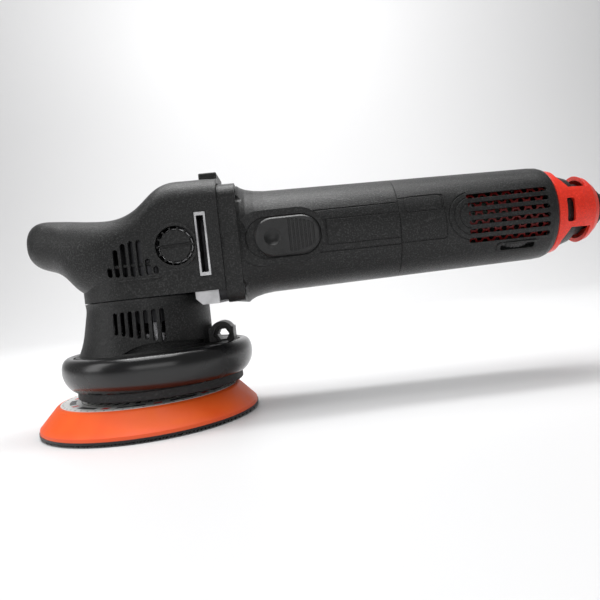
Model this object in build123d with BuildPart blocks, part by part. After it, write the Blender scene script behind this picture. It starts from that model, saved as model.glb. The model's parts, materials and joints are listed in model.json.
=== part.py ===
"""Dual action polisher: a random orbital car polisher with a right-angle head.

Frame: +Z up, +X from the spindle towards the rear handle, origin on the main spindle's axis in the
plane of the pad's hook face. All sizes are in millimetres.
"""

import os

from build123d import *
from math import acos, asin, atan2, cos, degrees, pi, radians, sin, sqrt, tan

os.makedirs("parts", exist_ok=True)

# ---------------------------------------------------------------- driving dimensions
ORBIT_OFFSET = 7.5  # half of a 15 mm orbit
PAD_RADIUS = 62.5  # 125 mm backing plate
HOOK_THICKNESS = 2.2
PAD_TOP_Z = 14.7
PAD_TOP_RADIUS = 51.6
MOTOR_Z = 95.7  # height of the motor axis
SEAM_Z = 70.0  # parting plane between head cover and neck shroud
FLANGE_X = 47.0  # gearbox face that the motor housing bolts to
FLANGE_THICKNESS = 10.0
GROOVE = 0.6  # width of the shallow panel lines
BODY_SEAM_X = 145.0  # parting plane between motor housing and rear handle
HOUSING_END_X = 235.4
WALL = 2.4

FLANGE_BOTTOM_Z = 62.7
FLANGE_TOP_Z = 127.6
FLANGE_WIDTH = 66.0
SCREW_GRID = (53.0, 51.0)  # flange screws, across and up
TUBE_RADIUS_AT_ZERO = 31.26  # tube radius extrapolated to x = 0
TUBE_TAPER = 0.018

COVER_WIDTH = 69.0
COLUMN_HALF_WIDTH = 34.0
NECK_BACK_X = 32.0
SKIRT_RADIUS = 48.0
SKIRT_TOP_Z = 37.0
SKIRT_BOTTOM_Z = 22.0
LIP_BOTTOM_Z = 17.6
BUMPER_RADIUS = 54.6
BUMPER_Z = (22.2, 41.0)

PINION_TEETH = 12
WHEEL_TEETH = 38
GEAR_MODULE = 1.25
FACE_WIDTH = 9.0
TOOTH_THINNING = 0.86  # share of the full tooth thickness, which leaves backlash

# Ball bearings: bore, outside diameter, width
BEARING_6202 = (15.0, 35.0, 11.0)
BEARING_6201 = (12.0, 32.0, 10.0)
BEARING_6000 = (10.0, 26.0, 8.0)
BEARING_608 = (8.0, 22.0, 7.0)
LOWER_BEARING_Z = 58.0
UPPER_BEARING_Z = 103.5
PAD_BEARING_Z = (23.0, 35.0)
FRONT_BEARING_X = 34.0
REAR_BEARING_X = 134.0

SOCKET_X = 22.8  # side handle sockets, one each side
SOCKET_Z = 95.8
SOCKET_RADIUS = 5.0
PLUG_RADIUS = 8.7

STATOR_X = (67.0, 105.0)
STATOR_RADIUS = 26.4
STATOR_FLAT_Y = 24.0
ARMATURE_RADIUS = 15.6
FAN_X = (50.0, 61.0)
COMMUTATOR_X = (117.0, 131.0)
BRUSH_X = 124.0

SWITCH_X = 82.6
SWITCH_Z = 95.2
SWITCH_LENGTH = 36.0
SWITCH_HEIGHT = 21.0
SWITCH_TRAVEL = 4.0
LINK_Y = (-25.6, -24.3)
VENT_X = (183.5, 229.5)
VENT_HEIGHTS = (106.7, 101.8, 97.0, 92.1, 87.2, 82.3)
DIAL_X = 211.6
DIAL_ANGLE = 42.8  # degrees below the horizontal
DIAL_RADIUS = 12.0
DIAL_CENTRE = 15.4  # distance of the dial's centre from the motor axis
HANDLE_BOSSES = ((151.0, 19.0), (151.0, -19.0), (226.0, 19.0), (226.0, -19.0))  # x, height from axis

MOTOR_PLANE = Plane(origin=(0, 0, MOTOR_Z), x_dir=(0, 1, 0), z_dir=(1, 0, 0))
SIDE_PLANE = Plane(origin=(0, 0, 0), x_dir=(1, 0, 0), z_dir=(0, -1, 0))  # local x, y = row x, z
PAD_AXIS_X = -ORBIT_OFFSET
PAD_AXIS = Axis((PAD_AXIS_X, 0, 0), (0, 0, 1))
MOTOR_AXIS = Axis((0, 0, MOTOR_Z), (1, 0, 0))


def tube_radius(x):
    """Outside radius of the motor and handle tube at x."""
    return TUBE_RADIUS_AT_ZERO - TUBE_TAPER * x


def write(piece, name):
    """Labels a finished piece and writes its STEP file."""
    piece.label = name
    export_step(piece, f"parts/{name}.step")


def turned(points, plane=Plane.XZ, axis=Axis.Z):
    """A solid of revolution from a closed outline of (radius, height) points."""
    with BuildPart() as solid:
        with BuildSketch(plane):
            with BuildLine():
                Polyline(*points, close=True)
            make_face()
        revolve(axis=axis)
    return solid.part


def turned_on_motor(points):
    """A solid of revolution about the motor axis from (x, radius) points."""
    with BuildPart() as solid:
        with BuildSketch(Plane.XZ.offset(0)):
            with BuildLine():
                Polyline(*[(x, MOTOR_Z + radius) for x, radius in points], close=True)
            make_face()
        revolve(axis=Axis((0, 0, MOTOR_Z), (1, 0, 0)))
    return solid.part


def bearing_sizes(size):
    """Ball radius, pitch radius and the two shoulder radii of a deep-groove bearing."""
    bore, outside, _ = size
    pitch = (bore + outside) / 4
    ball = 0.29 * (outside - bore) / 2
    return ball, pitch, pitch - 0.5 * ball, pitch + 0.5 * ball


def bearing_outer(size, plane):
    """Outer race standing on a plane, with its ball groove."""
    bore, outside, width = size
    ball, pitch, _, shoulder = bearing_sizes(size)
    with BuildPart() as race:
        with BuildSketch(plane):
            Circle(outside / 2)
            Circle(shoulder, mode=Mode.SUBTRACT)
        extrude(amount=width)
        with Locations(plane.offset(width / 2).location):
            Torus(pitch, ball * 1.04, mode=Mode.SUBTRACT)
    return race.part


def bearing_inner(size, plane):
    """Inner race standing on a plane."""
    bore, outside, width = size
    ball, pitch, shoulder, _ = bearing_sizes(size)
    with BuildPart() as race:
        with BuildSketch(plane):
            Circle(shoulder)
            Circle(bore / 2, mode=Mode.SUBTRACT)
        extrude(amount=width)
        with Locations(plane.offset(width / 2).location):
            Torus(pitch, ball * 1.04, mode=Mode.SUBTRACT)
    return race.part


def bearing_balls(size, plane, count=8):
    """The ball set of a bearing, as separate spheres."""
    ball, pitch, _, _ = bearing_sizes(size)
    with BuildPart() as balls:
        with Locations(plane.offset(size[2] / 2).location):
            with PolarLocations(pitch, count):
                Sphere(ball)
    return balls.part


def bevel_profile(teeth, mate_teeth):
    """Cone angle, cone distance and the tooth outline on the back cone at the large end."""
    pitch_radius = teeth * GEAR_MODULE / 2
    cone = atan2(teeth, mate_teeth)
    distance = pitch_radius / sin(cone)
    virtual_radius = pitch_radius / cos(cone)
    base_radius = virtual_radius * cos(radians(20))
    involute = lambda a: tan(a) - a
    flank = []
    for height in (-1.5, -1.0, -0.5, 0.0, 0.4, 0.8):
        radius = virtual_radius + height * GEAR_MODULE
        pressure = acos(min(1.0, base_radius / radius))
        half = TOOTH_THINNING * pi * GEAR_MODULE / 4 / virtual_radius
        half += involute(radians(20)) - involute(pressure)
        flank.append((radius * sin(half), radius * cos(half) - virtual_radius))
    outline = flank + [(-x, y) for x, y in reversed(flank)]
    return cone, distance, outline


def bevel_gear(teeth, mate_teeth, first_angle, body_points):
    """A straight bevel gear with its apex at the origin and its axis along +Z, back face up."""
    cone, distance, outline = bevel_profile(teeth, mate_teeth)
    small = 1 - FACE_WIDTH / distance
    along = Vector(sin(cone), 0, cos(cone))
    with BuildPart() as tooth:
        for scale_factor in (1.0, small):
            plane = Plane(origin=along * distance * scale_factor, x_dir=(0, -1, 0), z_dir=along)
            with BuildSketch(plane):
                with BuildLine():
                    Polyline(*[(x * scale_factor, y * scale_factor) for x, y in outline], close=True)
                make_face()
        loft(ruled=True)
    with BuildPart() as gear:
        with BuildSketch(Plane.XZ):
            with BuildLine():
                Polyline(*body_points, close=True)
            make_face()
        revolve(axis=Axis.Z)
        with PolarLocations(0, teeth, start_angle=first_angle):
            add(tooth.part)
    return gear.part


def root_point(teeth, mate_teeth, share):
    """(radius, height) of the tooth root line at a share of the cone distance."""
    cone = atan2(teeth, mate_teeth)
    distance = teeth * GEAR_MODULE / 2 / sin(cone)
    depth = 1.05 * GEAR_MODULE
    radius = distance * sin(cone) - depth * cos(cone)
    height = distance * cos(cone) + depth * sin(cone)
    return radius * share, height * share


def place(shape, plane):
    """A copy of a shape moved from the world frame into a plane's frame."""
    return plane.location * shape


FLANGE_MIDDLE = (FLANGE_TOP_Z + FLANGE_BOTTOM_Z) / 2 - MOTOR_Z


def flange_sketch(inset=0.0):
    """Outline of the square motor flange, on the current plane centred on the motor axis."""
    height = FLANGE_TOP_Z - FLANGE_BOTTOM_Z
    with Locations((0, FLANGE_MIDDLE)):
        RectangleRounded(FLANGE_WIDTH - 2 * inset, height - 2 * inset, 9 - inset)


# ---------------------------------------------------------------- head cover
# Sections along X: x, bottom, top, half width, corner radius
COVER_SECTIONS = (
    (-67.6, 100.5, 111.5, 6.5, 5.4),
    (-65.0, 96.0, 117.0, 12.0, 9.8),
    (-58.5, 92.2, 119.9, 17.5, 13.2),
    (-49.5, 88.8, 119.4, 21.5, 14.6),
    (-44.0, 84.2, 118.8, 24.2, 16.6),
    (-39.2, 78.6, 118.2, 26.6, 18.6),
    (-33.0, 74.6, 117.2, 29.2, 19.0),
    (-24.0, 73.2, 115.8, 31.8, 17.5),
    (-10.0, 72.8, 115.4, 34.0, 15.0),
    (2.0, 72.6, 120.2, 34.5, 14.0),
    (13.0, 72.6, 128.9, 34.5, 13.5),
    (21.0, 72.5, 131.8, 34.5, 13.5),
    (28.0, 72.5, 132.0, 34.5, 13.5),
    (34.5, 72.5, 131.9, 34.5, 13.5),
    (41.0, 72.5, 131.8, 34.5, 13.5),
    (47.0, 72.5, 131.6, 34.5, 13.5),
)


def cover_loft(inset):
    """Solid of the cover's upper form, shrunk all round by an inset."""
    with BuildPart() as solid:
        for index, (x, bottom, top, half_width, corner) in enumerate(COVER_SECTIONS):
            shift = inset if index < 2 else 0.0
            if index == len(COVER_SECTIONS) - 1 and inset > 0:
                shift = 1.0
            plane = Plane(origin=(x + shift, 0, (bottom + top) / 2), x_dir=(0, 1, 0), z_dir=(1, 0, 0))
            with BuildSketch(plane):
                width = 2 * (half_width - inset)
                height = top - bottom - 2 * inset
                RectangleRounded(width, height, max(corner - inset, 1.5))
        loft()
    return solid.part


def column_solid(inset, bottom, top, back_x):
    """Solid of the head's lower column, round at the front and straight to the back."""
    with BuildPart() as solid:
        with BuildSketch(Plane.XY.offset(bottom)):
            with Locations((-3.4, 0)):
                Ellipse(35.4 - inset, COLUMN_HALF_WIDTH - inset)
            with Locations(((back_x - 3.4) / 2, 0)):
                Rectangle(back_x + 3.4, 2 * (COLUMN_HALF_WIDTH - inset))
        extrude(amount=top - bottom)
    return solid.part


FAN_VENTS = (
    (-13.6, 82.6, 87.9), (-9.6, 82.2, 97.0), (-5.3, 81.9, 99.8), (-1.0, 81.7, 100.8),
    (3.2, 81.7, 100.9), (7.2, 81.9, 90.6), (11.2, 82.2, 86.2),
)

with BuildPart() as head_cover:
    add(cover_loft(0))
    add(column_solid(0, SEAM_Z + 0.25, 92, FLANGE_X))
    add(cover_loft(WALL), mode=Mode.SUBTRACT)
    add(column_solid(WALL, SEAM_Z - 1, 93, FLANGE_X + 1), mode=Mode.SUBTRACT)
    with BuildSketch(SIDE_PLANE):
        for x, bottom, top in FAN_VENTS:
            with Locations((x, (bottom + top) / 2)):
                SlotOverall(top - bottom, 2.7, rotation=90)
        with Locations((SOCKET_X, SOCKET_Z)):
            Circle(10.5)
    extrude(amount=50, both=True, mode=Mode.SUBTRACT)
    for side in (-1, 1):
        with BuildSketch(SIDE_PLANE.offset(33.6 * -side)):
            with Locations((SOCKET_X, SOCKET_Z)):
                Circle(12.1)
                Circle(10.5, mode=Mode.SUBTRACT)
        extrude(amount=2.6 * -side)
        with Locations((-1.5, side * 31.6, 88)):
            Box(32, 1.6, 1.5)
        with Locations((1.3, side * 33.8, 79.9)):
            Box(25, 1.8, 0.9)
    with BuildSketch(SIDE_PLANE):
        with Locations((37.1, 95.5)):
            RectangleRounded(6.4, 34.6, 0.6)
    extrude(amount=50, both=True, mode=Mode.SUBTRACT)
    with Locations((41.0, 0, 133.4)):
        Box(10.2, 26, 8.4)
    fillet(head_cover.faces().sort_by(Axis.Z)[-1].edges(), 1.0)
write(head_cover.part, "head_cover")

# ---------------------------------------------------------------- neck shroud
# Elliptical sections: height, front x, half width
NECK_SECTIONS = (
    (SEAM_Z - 0.25, -38.8, 34.0), (60.0, -39.6, 34.4), (52.0, -41.3, 35.2),
    (46.0, -43.1, 36.3), (41.0, -45.2, 38.0), (36.0, -46.6, 39.0),
)


def neck_loft(inset):
    """Solid of the neck, shrunk by an inset and then slightly longer at both ends."""
    with BuildPart() as solid:
        for height, front_x, half_width in NECK_SECTIONS:
            with BuildSketch(Plane.XY.offset(height)):
                with Locations(((front_x + NECK_BACK_X) / 2, 0)):
                    Ellipse((NECK_BACK_X - front_x) / 2 - inset, half_width - inset)
        loft()
    return solid.part


neck_outer = neck_loft(0)
neck_core = neck_loft(WALL)
with BuildPart() as brow_recess:
    with BuildSketch(SIDE_PLANE):
        with BuildLine():
            Bezier((-10.5, 41.4), (-3, 45.6), (6, 47.4), (29, 43.4))
            Line((29, 43.4), (29, 41.4))
            Line((29, 41.4), (-10.5, 41.4))
        make_face()
    extrude(amount=50, both=True)
    add(neck_outer, mode=Mode.INTERSECT)
    add(neck_loft(1.7), mode=Mode.SUBTRACT)

with BuildPart() as neck_shroud:
    add(neck_outer)
    with BuildSketch(Plane.XY.offset(SKIRT_TOP_Z)):
        Circle(SKIRT_RADIUS)
    extrude(amount=2.4)
    with BuildSketch(Plane.XY.offset(SKIRT_TOP_Z + 2.4)):
        Circle(46.8)
    extrude(amount=1.2)
    with BuildSketch(Plane.XY.offset(SKIRT_BOTTOM_Z)):
        Circle(SKIRT_RADIUS)
    extrude(amount=SKIRT_TOP_Z - SKIRT_BOTTOM_Z)
    with BuildSketch(SIDE_PLANE):
        with Locations((37.6, 42.6)):
            Rectangle(16, 11.4)
        with Locations((38.6, 45.1)):
            Circle(6.9)
    extrude(amount=8, both=True)
    add(neck_core, mode=Mode.SUBTRACT)
    with BuildSketch(Plane.XY.offset(SKIRT_BOTTOM_Z - 1)):
        Circle(SKIRT_RADIUS - WALL)
    extrude(amount=SKIRT_TOP_Z - SKIRT_BOTTOM_Z + 1, mode=Mode.SUBTRACT)
    with BuildSketch(Plane.XY.offset(66)):
        with Locations((-3.4, 0)):
            Ellipse(34.2, 33)
        Circle(22.3, mode=Mode.SUBTRACT)
    extrude(amount=SEAM_Z - 66)
    with BuildSketch(Plane.XY.offset(60)):
        with PolarLocations(25.6, 4, start_angle=45):
            Circle(2.1)
    extrude(amount=12, mode=Mode.SUBTRACT)
    with BuildSketch(SIDE_PLANE):
        for index in range(7):
            bottom = 51.7 - index
            with Locations((-13.8 + 4.1 * index, (bottom + 63.6) / 2)):
                SlotOverall(63.6 - bottom, 2.3, rotation=90)
        with Locations((39.1, 44.3)):
            RegularPolygon(3.0, 6, major_radius=False)
    extrude(amount=50, both=True, mode=Mode.SUBTRACT)
    with BuildSketch(SIDE_PLANE.offset(5)):
        with Locations((39.1, 44.3)):
            RegularPolygon(4.7, 6, major_radius=False)
    extrude(amount=4, mode=Mode.SUBTRACT)
    add(brow_recess.part, mode=Mode.SUBTRACT)
    with Locations((37.5, 0, 66.5)):
        Box(15.2, 64, 7.4, mode=Mode.SUBTRACT)
write(neck_shroud.part, "neck_shroud")

lip_outline = (
    (44.2, LIP_BOTTOM_Z), (47.2, LIP_BOTTOM_Z), (47.6, LIP_BOTTOM_Z + 0.4), (47.6, SKIRT_BOTTOM_Z),
    (45.6, SKIRT_BOTTOM_Z), (45.6, 25.6), (44.2, 25.6),
)
write(turned(lip_outline), "dust_lip")

with BuildPart() as bumper_ring:
    with BuildSketch(Plane.XZ):
        with BuildLine():
            Line((SKIRT_RADIUS, BUMPER_Z[1] - 0.8), (SKIRT_RADIUS, BUMPER_Z[0]))
            Line((SKIRT_RADIUS, BUMPER_Z[0]), (48.6, BUMPER_Z[0]))
            Bezier((48.6, BUMPER_Z[0]), (50.6, BUMPER_Z[0] + 0.4), (BUMPER_RADIUS, 27.6), (BUMPER_RADIUS, 33.2))
            Bezier((BUMPER_RADIUS, 33.2), (BUMPER_RADIUS, 38.2), (52.8, BUMPER_Z[1]), (49.4, BUMPER_Z[1]))
            Line((49.4, BUMPER_Z[1]), (SKIRT_RADIUS, BUMPER_Z[1] - 0.8))
        make_face()
    revolve(axis=Axis.Z)
write(bumper_ring.part, "bumper_ring")

# ---------------------------------------------------------------- gearbox housing
GEARBOX_OUTLINE = (
    (17.5, 56), (22, 56), (22, 70), (30.5, 70), (30.5, 104), (26, 108.4), (14.5, 110), (14.5, 112),
    (0, 112), (0, 110.5), (11, 110.5), (11, 103.6), (14, 103.6), (14, 106), (24, 106), (27, 103.6),
    (27, 80), (13, 80), (13, 69), (17.5, 69),
)
with BuildPart() as gear_space:
    with BuildSketch(Plane.XY.offset(80)):
        Circle(27)
    extrude(amount=23.6)
    with BuildSketch(MOTOR_PLANE.offset(6)):
        Circle(11)
    extrude(amount=FRONT_BEARING_X - 6)

with BuildPart() as gearbox_housing:
    with BuildSketch(Plane.XY.offset(72)):
        with Locations((31.3, 0)):
            RectangleRounded(22.8, 58, 5)
    extrude(amount=46)
    with BuildSketch(MOTOR_PLANE.offset(36)):
        flange_sketch(1.4)
    extrude(amount=6.7)
    with BuildSketch(SIDE_PLANE):
        with BuildLine():
            Polyline((30, 74), (30, 66.4), (33.4, 63), (42.7, 63), (42.7, 74), close=True)
        make_face()
    extrude(amount=31.4, both=True)
    for side in (-1, 1):
        with BuildSketch(SIDE_PLANE.offset(29 * -side)):
            with Locations((SOCKET_X, SOCKET_Z)):
                Circle(9.2)
            with Locations((37.1, 95.5)):
                RectangleRounded(6.0, 34.2, 0.5)
        extrude(amount=4 * -side)
        with BuildSketch(SIDE_PLANE.offset(33 * -side)):
            with Locations((37.1, 95.5)):
                RectangleRounded(6.0, 34.2, 0.5)
        extrude(amount=1.2 * -side)
    add(gear_space.part, mode=Mode.SUBTRACT)
    with BuildSketch(MOTOR_PLANE.offset(FRONT_BEARING_X)):
        Circle(16)
    extrude(amount=10, mode=Mode.SUBTRACT)
    with BuildSketch(Plane.XY):
        Circle(26.8)
    extrude(amount=66, mode=Mode.SUBTRACT)
    add(turned(GEARBOX_OUTLINE))
    add(gear_space.part, mode=Mode.SUBTRACT)
    with BuildSketch(MOTOR_PLANE.offset(18)):
        Circle(11)
    extrude(amount=16, mode=Mode.SUBTRACT)
    for side in (-1, 1):
        with BuildSketch(SIDE_PLANE.offset(19 * -side)):
            with Locations((SOCKET_X, SOCKET_Z)):
                Circle(SOCKET_RADIUS)
        extrude(amount=20 * -side, mode=Mode.SUBTRACT)
        with BuildSketch(SIDE_PLANE.offset(20 * -side)):
            with Locations((37.1, 95.5)):
                RectangleRounded(3.8, 30.4, 0.5)
        extrude(amount=16 * -side, mode=Mode.SUBTRACT)
    with Locations(Plane.XY.offset(69.9)):
        with PolarLocations(25.6, 4, start_angle=45):
            Cylinder(2, 9, align=(Align.CENTER, Align.CENTER, Align.MIN), mode=Mode.SUBTRACT)
    with BuildSketch(MOTOR_PLANE.offset(38)):
        with Locations((0, FLANGE_MIDDLE)):
            with GridLocations(*SCREW_GRID, 2, 2):
                Circle(2)
    extrude(amount=10, mode=Mode.SUBTRACT)
write(gearbox_housing.part, "gearbox_housing")

with BuildPart() as bearing_retainer:
    with BuildSketch(MOTOR_PLANE.offset(42.7)):
        flange_sketch(1.6)
        with Locations((0, FLANGE_MIDDLE)):
            with GridLocations(*SCREW_GRID, 2, 2):
                Circle(2.1, mode=Mode.SUBTRACT)
        Circle(13, mode=Mode.SUBTRACT)
        for side in (-1, 1):
            with Locations((0, side * 26)):
                SlotOverall(26, 7, mode=Mode.SUBTRACT)
    extrude(amount=FLANGE_X - 42.7)
    with BuildSketch(MOTOR_PLANE.offset(42.7)):
        Circle(16)
    extrude(amount=1.3, mode=Mode.SUBTRACT)
write(bearing_retainer.part, "bearing_retainer")

with BuildPart() as handle_hole_plugs:
    for side in (-1, 1):
        with BuildSketch(SIDE_PLANE.offset(33 * -side)):
            with Locations((SOCKET_X, SOCKET_Z)):
                Circle(PLUG_RADIUS)
                with PolarLocations(PLUG_RADIUS + 0.4, 14):
                    Rectangle(1.9, 1.0)
        extrude(amount=2.4 * -side)
        with BuildSketch(SIDE_PLANE.offset(21 * -side)):
            with Locations((SOCKET_X, SOCKET_Z)):
                Circle(SOCKET_RADIUS)
        extrude(amount=12 * -side)
    for side in (-1, 1):
        with Locations((SOCKET_X, side * 35.4, SOCKET_Z)):
            Box(18, 2.4, 1.9, rotation=(0, -2, 0), mode=Mode.SUBTRACT)
    chamfer(handle_hole_plugs.edges().filter_by(GeomType.CIRCLE).filter_by(
        lambda edge: abs(edge.radius - PLUG_RADIUS) < 0.01 and abs(edge.center().Y) > 35), 0.5)
write(handle_hole_plugs.part, "handle_hole_plugs")

# ---------------------------------------------------------------- motor housing
def side_band(depth, start, end):
    """A thin skin of the tube, used to keep shallow grooves at an even depth."""
    points = (
        (start, tube_radius(start) - depth), (end, tube_radius(end) - depth),
        (end, tube_radius(end) + 1), (start, tube_radius(start) + 1),
    )
    return turned_on_motor(points)


def side_core(depth, start, end):
    """The solid core of the tube below a depth."""
    return turned_on_motor((
        (start, 0), (start, tube_radius(start) - depth), (end, tube_radius(end) - depth), (end, 0),
    ))


with BuildSketch() as panel_inside:
    with Locations((125, 96.2)):
        RectangleRounded(55 - 2 * GROOVE, 23.6 - 2 * GROOVE, 1.0)
    with Locations((82, 96.2)):
        Circle(19.5 + GROOVE, mode=Mode.SUBTRACT)

with BuildPart() as motor_grooves:
    with BuildSketch(SIDE_PLANE):
        with Locations((125, 96.2)):
            RectangleRounded(55, 23.6, 1.0)
        with Locations((82, 96.2)):
            Circle(19.5, mode=Mode.SUBTRACT)
        add(panel_inside.sketch, mode=Mode.SUBTRACT)
        with Locations((126, 95.2)):
            RectangleRounded(44, 14.4, 1.2)
            RectangleRounded(44 - 2 * GROOVE, 14.4 - 2 * GROOVE, 0.8, mode=Mode.SUBTRACT)
    extrude(amount=50, both=True)
    add(side_band(0.4, 90, BODY_SEAM_X + 1), mode=Mode.INTERSECT)

with BuildPart() as motor_housing:
    with BuildSketch(MOTOR_PLANE.offset(FLANGE_X)):
        flange_sketch()
    extrude(amount=9.5)
    tube = [(FLANGE_X, 0), (FLANGE_X, 33), (56.5, 34.4), (58, 33.2), (61, 31.8), (66, 30.6)]
    tube += [(72, tube_radius(72)), (BODY_SEAM_X, tube_radius(BODY_SEAM_X)), (BODY_SEAM_X, 0)]
    add(turned_on_motor(tube))
    with BuildSketch(SIDE_PLANE.offset(20)):
        with Locations((78.5, SWITCH_Z)):
            SlotOverall(50, 30)
    extrude(amount=11.4)
    with BuildSketch(SIDE_PLANE.offset(30)):
        with Locations((80.6, SWITCH_Z)):
            SlotOverall(41.2, 22.6)
    extrude(amount=5, mode=Mode.SUBTRACT)
    bore = [(FLANGE_X - 1, 0), (FLANGE_X - 1, 28.2), (64, 28.2), (66, tube_radius(66) - WALL)]
    bore += [(132, tube_radius(132) - WALL), (132, 0)]
    add(turned_on_motor(bore), mode=Mode.SUBTRACT)
    rear_bore = [(136, 13.6), (136, 24.5), (BODY_SEAM_X + 1, 24.5), (BODY_SEAM_X + 1, 13.6)]
    add(turned_on_motor(rear_bore), mode=Mode.SUBTRACT)
    with BuildSketch(MOTOR_PLANE.offset(STATOR_X[0])):
        Circle(27.4)
        Circle(STATOR_RADIUS, mode=Mode.SUBTRACT)
        Rectangle(46, 60, mode=Mode.INTERSECT)
    extrude(amount=STATOR_X[1] - STATOR_X[0])
    with BuildSketch(MOTOR_PLANE.offset(131)):
        Circle(11)
        with PolarLocations(19, 6, start_angle=30):
            Circle(3.6)
    extrude(amount=14, mode=Mode.SUBTRACT)
    with Locations((80.9, -27, SWITCH_Z)):
        Box(19.2, 10, 8.0, mode=Mode.SUBTRACT)
    with Locations((136, -24.9, SWITCH_Z)):
        Box(20, 2.6, 8.4, mode=Mode.SUBTRACT)
    with BuildSketch(MOTOR_PLANE.offset(40)):
        with Locations((0, FLANGE_MIDDLE)):
            with GridLocations(*SCREW_GRID, 2, 2):
                Circle(2.1)
    extrude(amount=20, mode=Mode.SUBTRACT)
    with BuildSketch(MOTOR_PLANE.offset(53)):
        with Locations((0, FLANGE_MIDDLE)):
            with GridLocations(*SCREW_GRID, 2, 2):
                Circle(3.9)
    extrude(amount=8, mode=Mode.SUBTRACT)
    add(motor_grooves.part, mode=Mode.SUBTRACT)
write(motor_housing.part, "motor_housing")


def hex_screws(planes, head_radius, head_height, shank_radius, length):
    """Socket head screws, one for each plane: the head rises from it and the shank goes down."""
    with BuildPart() as screws:
        for plane in planes:
            with BuildSketch(plane):
                Circle(head_radius)
            extrude(amount=head_height)
            with BuildSketch(plane):
                Circle(shank_radius)
            extrude(amount=-length)
            with BuildSketch(plane.offset(head_height)):
                RegularPolygon(head_radius * 0.5, 6)
            extrude(amount=-head_height * 0.6, mode=Mode.SUBTRACT)
    return screws.part


corner_planes = []
for y in (-SCREW_GRID[0] / 2, SCREW_GRID[0] / 2):
    for z in (MOTOR_Z + FLANGE_MIDDLE - SCREW_GRID[1] / 2, MOTOR_Z + FLANGE_MIDDLE + SCREW_GRID[1] / 2):
        corner_planes.append(Plane(origin=(53, y, z), x_dir=(0, 1, 0), z_dir=(1, 0, 0)))
write(hex_screws(corner_planes, 3.6, 3.2, 2.0, 14.8), "flange_screws")

neck_planes = []
for angle in (45, 135, 225, 315):
    x = 25.6 * cos(radians(angle))
    y = 25.6 * sin(radians(angle))
    neck_planes.append(Plane(origin=(x, y, 66), x_dir=(1, 0, 0), z_dir=(0, 0, -1)))
write(hex_screws(neck_planes, 3.4, 3.0, 2.0, 12.5), "neck_screws")

# ---------------------------------------------------------------- rear handle
with BuildPart() as handle_grooves:
    with BuildSketch(SIDE_PLANE):
        for width, height in ((14.5, 13.6), (11.4, 10.8), (8.3, 7.6)):
            with Locations((186.5, 96)):
                Ellipse(width, height)
                Ellipse(width - GROOVE, height - GROOVE, mode=Mode.SUBTRACT)
        with Locations((176, 96)):
            Rectangle(16, 40, mode=Mode.INTERSECT)
        with Locations((152, 97.5)):
            RectangleRounded(38, 25, 1.5)
            RectangleRounded(38 - 2 * GROOVE, 25 - 2 * GROOVE, 1.0, mode=Mode.SUBTRACT)
        with Locations((159.2, 105.6)):
            RectangleRounded(21.5, 9.4, 2.5)
            RectangleRounded(21.5 - 2 * GROOVE, 9.4 - 2 * GROOVE, 2.0, mode=Mode.SUBTRACT)
    extrude(amount=50, both=True)
    add(side_band(0.4, BODY_SEAM_X - 1, 200), mode=Mode.INTERSECT)

with BuildPart() as handle_bosses:
    with BuildSketch(SIDE_PLANE):
        for x, height in HANDLE_BOSSES:
            with Locations((x, MOTOR_Z + height)):
                Circle(3.6)
    extrude(amount=24, both=True)
    add(side_core(0.4, BODY_SEAM_X, 232), mode=Mode.INTERSECT)

with BuildPart() as handle_form:
    shell = [(BODY_SEAM_X, 0), (BODY_SEAM_X, 28.1), (BODY_SEAM_X + 0.6, tube_radius(145) - 0.05)]
    shell += [(228, tube_radius(228)), (232, 26.8), (234.4, 26.0), (HOUSING_END_X, 25.1), (HOUSING_END_X, 0)]
    add(turned_on_motor(shell))
    hollow = [(BODY_SEAM_X - 1, 0), (BODY_SEAM_X - 1, 26.1), (BODY_SEAM_X + 3, 26.1)]
    hollow += [(226, tube_radius(226) - WALL), (228, 24.25), (242, 24.25), (242, 0)]
    add(turned_on_motor(hollow), mode=Mode.SUBTRACT)
    add(handle_bosses.part)
    with BuildSketch(SIDE_PLANE):
        for height in VENT_HEIGHTS:
            with Locations(((VENT_X[0] + VENT_X[1]) / 2, height)):
                SlotOverall(VENT_X[1] - VENT_X[0], 2.5)
    extrude(amount=50, both=True, mode=Mode.SUBTRACT)
    with BuildSketch(SIDE_PLANE):
        for x, height in HANDLE_BOSSES:
            with Locations((x, MOTOR_Z + height)):
                Circle(1.6)
    extrude(amount=-40, mode=Mode.SUBTRACT)
    with BuildSketch(SIDE_PLANE):
        for x, height in HANDLE_BOSSES:
            with Locations((x, MOTOR_Z + height)):
                Circle(1.6)
    extrude(amount=10.2, mode=Mode.SUBTRACT)
    add(handle_grooves.part, mode=Mode.SUBTRACT)

DIAL_DIRECTION = (0, -cos(radians(DIAL_ANGLE)), -sin(radians(DIAL_ANGLE)))
DIAL_AXLE = (0, sin(radians(DIAL_ANGLE)), -cos(radians(DIAL_ANGLE)))
DIAL_ORIGIN = (DIAL_X, DIAL_CENTRE * DIAL_DIRECTION[1], MOTOR_Z + DIAL_CENTRE * DIAL_DIRECTION[2])
DIAL_PLANE = Plane(origin=DIAL_ORIGIN, x_dir=(1, 0, 0), z_dir=DIAL_AXLE)
DIAL_WINDOW = Plane(origin=(DIAL_X, 0, MOTOR_Z), x_dir=(1, 0, 0), z_dir=DIAL_DIRECTION)


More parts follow.
